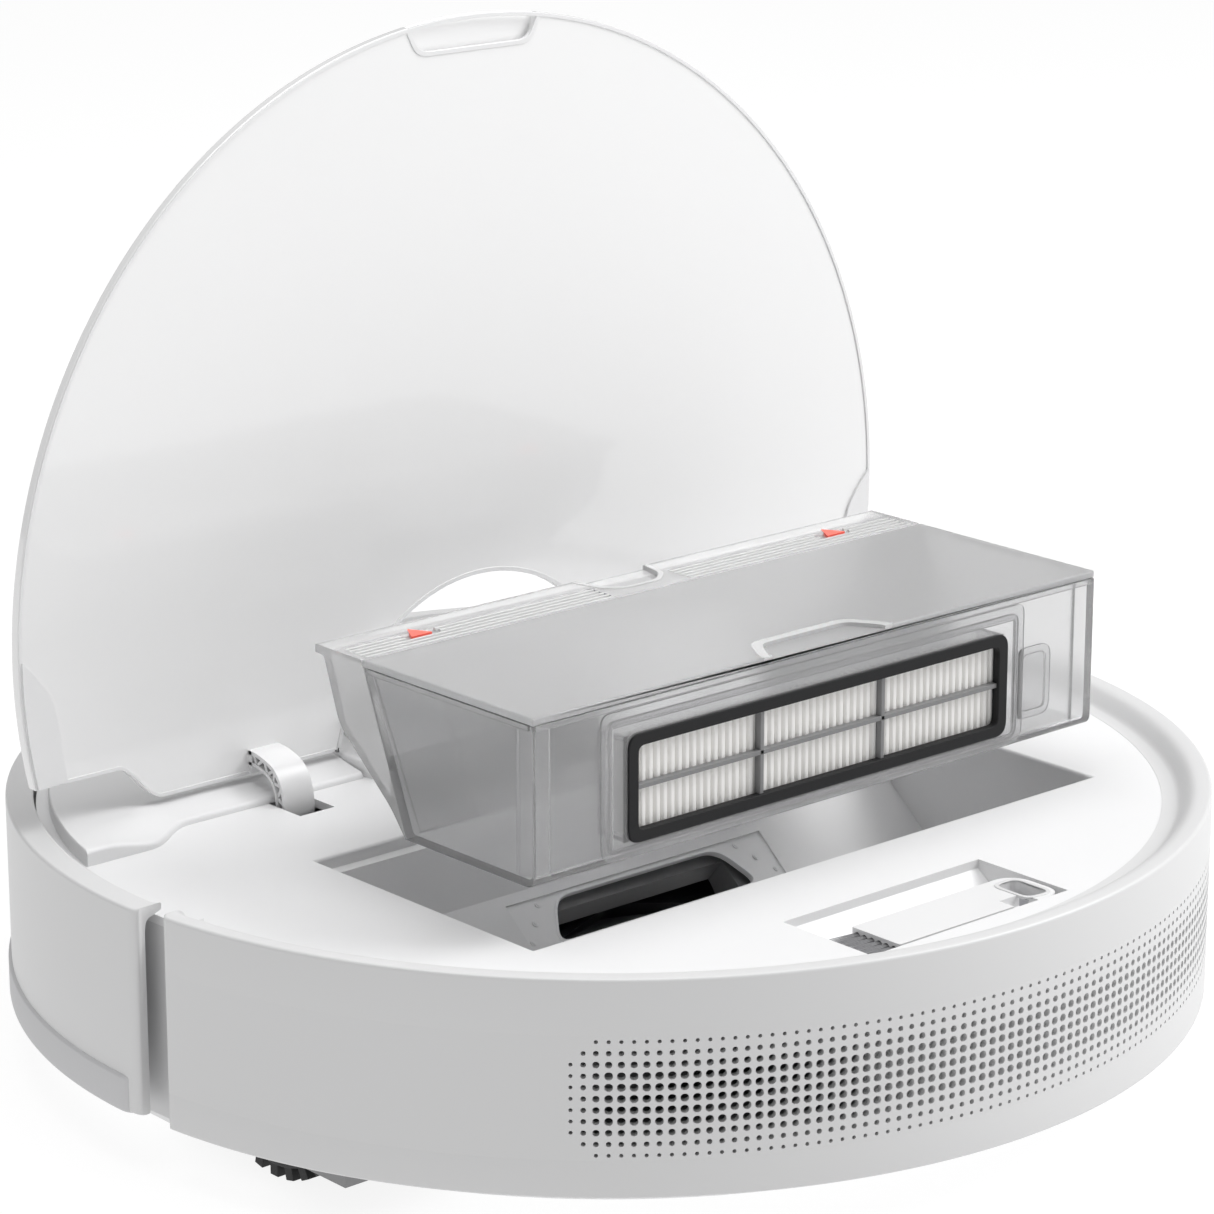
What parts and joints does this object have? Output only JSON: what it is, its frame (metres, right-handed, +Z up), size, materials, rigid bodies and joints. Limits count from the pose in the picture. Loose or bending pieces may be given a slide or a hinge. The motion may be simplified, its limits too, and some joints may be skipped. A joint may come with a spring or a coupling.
{
  "type": "robot floor cleaner",
  "caption": "Round floor-cleaning robot with sprung bumper, scanner turret, opened lid, lifted dust bin with pleated filter, cleaning tool, wheels and brushes.",
  "frame": {"origin": "on the floor under the middle of the round body", "axes": "+Z up, +Y the way the robot drives, +X its right-hand side"},
  "size_m": [0.347, 0.346, 0.2854],
  "materials": {
    "white_gloss": "gloss",
    "white_satin": "satin",
    "clear_smoke": "frosted",
    "grey_plastic": "matte",
    "dark_plastic": "matte",
    "soft_grey": "matte",
    "black_rubber": "matte",
    "red_mark": "gloss",
    "paper": "matte",
    "steel": "brushed",
    "brass": "polished",
    "board_green": "satin",
    "battery_wrap": "satin",
    "nylon": "matte"
  },
  "bodies": {
    "chassis": {"base_plate": "dark_plastic", "rear_shell": "white_gloss", "exhaust_baffle": "white_satin", "deck": "white_gloss", "front_cover": "white_gloss", "bin_bay": "grey_plastic", "inlet_plate": "soft_grey", "brush_housing": "grey_plastic", "wheel_housing_right": "dark_plastic", "wheel_housing_left": "dark_plastic", "turret_collar": "white_gloss", "turret_cage": "white_gloss", "lidar_mount": "grey_plastic", "tool_tray": "white_gloss", "fan_housing": "grey_plastic", "fan_motor": "steel", "battery": "battery_wrap", "battery_door": "dark_plastic", "main_board": "board_green", "side_motor": "steel", "charging_contacts": "brass", "pan_screws": "steel", "brush_guard": "dark_plastic", "hinge_pins": "steel"},
    "lid": {"lid_panel": "white_gloss", "lid_pads": "white_satin", "lid_arm_left": "white_satin", "lid_arm_right": "white_satin"},
    "bin": {"bin_body": "clear_smoke", "bin_strip": "clear_smoke", "bin_marks": "red_mark"},
    "bin_cover": {"bin_lid": "clear_smoke"},
    "filter": {"filter_frame": "grey_plastic", "filter_seal": "black_rubber", "filter_media": "paper"},
    "tool": {"tool_handle": "white_gloss", "tool_bristles": "nylon", "tool_blade": "steel"},
    "bumper_shell": {"bumper": "white_gloss", "bumper_band": "soft_grey"},
    "power_key": {"power_button": "white_gloss"},
    "home_key": {"home_button": "white_gloss"},
    "scanner": {"lidar_head": "dark_plastic"},
    "fan_rotor": {"impeller": "dark_plastic"},
    "brush_roller": {"main_brush": "dark_plastic", "brush_fins": "black_rubber"},
    "side_brush": {"side_brush_hub": "white_satin", "side_bristles": "nylon"},
    "right_arm": {"drive_arm_right": "dark_plastic"},
    "right_wheel": {"drive_hub_right": "grey_plastic", "drive_tyre_right": "black_rubber"},
    "left_arm": {"drive_arm_left": "dark_plastic"},
    "left_wheel": {"drive_hub_left": "grey_plastic", "drive_tyre_left": "black_rubber"},
    "caster_yoke": {"caster_fork": "dark_plastic"},
    "caster_roller": {"caster_wheel": "white_satin"}
  },
  "joints": [
    {"name": "lid_hinge", "type": "hinge", "parent": "chassis", "child": "lid", "pos_m": [0, 0.0545, 0.0685], "axis": [-1, 0, 0], "range_deg": [-90, 0]},
    {"name": "bin_lift", "type": "slide", "parent": "chassis", "child": "bin", "axis": [0, 0, 1], "range_m": [-0.0625, 0]},
    {"name": "bin_lid_hinge", "type": "hinge", "parent": "bin", "child": "bin_cover", "pos_m": [0, -0.019, 0.1313], "axis": [-1, 0, 0], "range_deg": [0, 95]},
    {"name": "filter_pull", "type": "slide", "parent": "bin", "child": "filter", "axis": [0, -1, 0], "range_m": [0, 0.016]},
    {"name": "tool_lift", "type": "slide", "parent": "chassis", "child": "tool", "axis": [0, 0, 1], "range_m": [0, 0.05]},
    {"name": "bumper_push", "type": "slide", "parent": "chassis", "child": "bumper_shell", "axis": [0, -1, 0], "range_m": [0, 0.004], "stiffness_N_per_m": 300, "springref_m": -0.002},
    {"name": "power_press", "type": "slide", "parent": "chassis", "child": "power_key", "axis": [0, 0, -1], "range_m": [0, 0.001], "stiffness_N_per_m": 600, "springref_m": -0.0008},
    {"name": "home_press", "type": "slide", "parent": "chassis", "child": "home_key", "axis": [0, 0, -1], "range_m": [0, 0.001], "stiffness_N_per_m": 600, "springref_m": -0.0008},
    {"name": "scanner_spin", "type": "hinge", "parent": "chassis", "child": "scanner", "pos_m": [0, 0.057, 0.09], "axis": [0, 0, 1], "continuous": true},
    {"name": "fan_spin", "type": "hinge", "parent": "chassis", "child": "fan_rotor", "pos_m": [0, -0.126, 0.04], "axis": [0, 0, 1], "continuous": true},
    {"name": "main_brush_spin", "type": "hinge", "parent": "chassis", "child": "brush_roller", "pos_m": [0, 0.008, 0.019], "axis": [1, 0, 0], "continuous": true},
    {"name": "side_brush_spin", "type": "hinge", "parent": "chassis", "child": "side_brush", "pos_m": [0.098, 0.104, 0.006], "axis": [0, 0, 1], "continuous": true},
    {"name": "right_suspension", "type": "hinge", "parent": "chassis", "child": "right_arm", "pos_m": [0.12, -0.002, 0.038], "axis": [1, 0, 0], "range_deg": [0, 18], "stiffness_Nm_per_rad": 0.25, "springref_deg": 34.38},
    {"name": "left_suspension", "type": "hinge", "parent": "chassis", "child": "left_arm", "pos_m": [-0.12, -0.002, 0.038], "axis": [1, 0, 0], "range_deg": [0, 18], "stiffness_Nm_per_rad": 0.25, "springref_deg": 34.38},
    {"name": "right_wheel_spin", "type": "hinge", "parent": "right_arm", "child": "right_wheel", "pos_m": [0.138, -0.032, 0.031], "axis": [1, 0, 0], "continuous": true},
    {"name": "left_wheel_spin", "type": "hinge", "parent": "left_arm", "child": "left_wheel", "pos_m": [-0.138, -0.032, 0.031], "axis": [1, 0, 0], "continuous": true},
    {"name": "caster_swivel", "type": "hinge", "parent": "chassis", "child": "caster_yoke", "pos_m": [0, 0.118, 0.03], "axis": [0, 0, 1], "continuous": true},
    {"name": "caster_roll", "type": "hinge", "parent": "caster_yoke", "child": "caster_roller", "pos_m": [0, 0.113, 0.0125], "axis": [1, 0, 0], "continuous": true}
  ],
  "couplings": [
    {"joint": "bin_lift", "follows": "lid_hinge", "m_per_rad": 0.039725}
  ]
}
